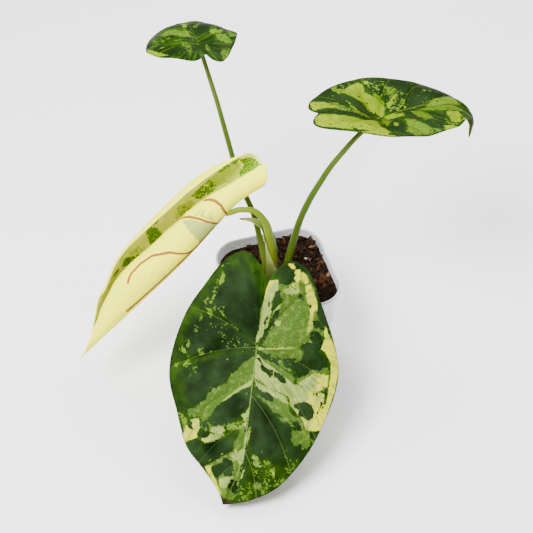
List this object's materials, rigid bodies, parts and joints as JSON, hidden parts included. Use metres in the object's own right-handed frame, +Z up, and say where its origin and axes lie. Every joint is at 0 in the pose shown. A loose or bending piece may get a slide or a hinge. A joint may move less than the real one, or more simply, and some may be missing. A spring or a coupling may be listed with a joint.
{
  "type": "potted variegated dragon scale alocasia",
  "caption": "Aroid house plant in a small square nursery pot: broad heart-shaped variegated leaves on long curved stalks, with a pale new leaf still rolled up.",
  "frame": {"origin": "middle of the pot's underside, on the surface that it stands on", "axes": "+Z up, X and Y square to the pot's flat sides; the big front leaf hangs towards -Y and -X"},
  "size_m": [0.2879, 0.2702, 0.2306],
  "materials": {
    "pot_plastic": "satin",
    "coir": "matte",
    "crown": "matte",
    "sheath": "satin",
    "stalk": "satin",
    "young_stalk": "satin",
    "blade": "satin",
    "young_blade": "satin"
  },
  "bodies": {
    "root": {"pot": "pot_plastic", "soil": "coir", "crown_and_roots": "crown", "sheath_new": "sheath", "petiole_front": "stalk", "leaf_front": "blade", "petiole_right": "stalk", "leaf_right": "blade", "petiole_back": "stalk", "leaf_back": "blade", "petiole_new": "young_stalk", "leaf_new": "young_blade"}
  },
  "joints": []
}
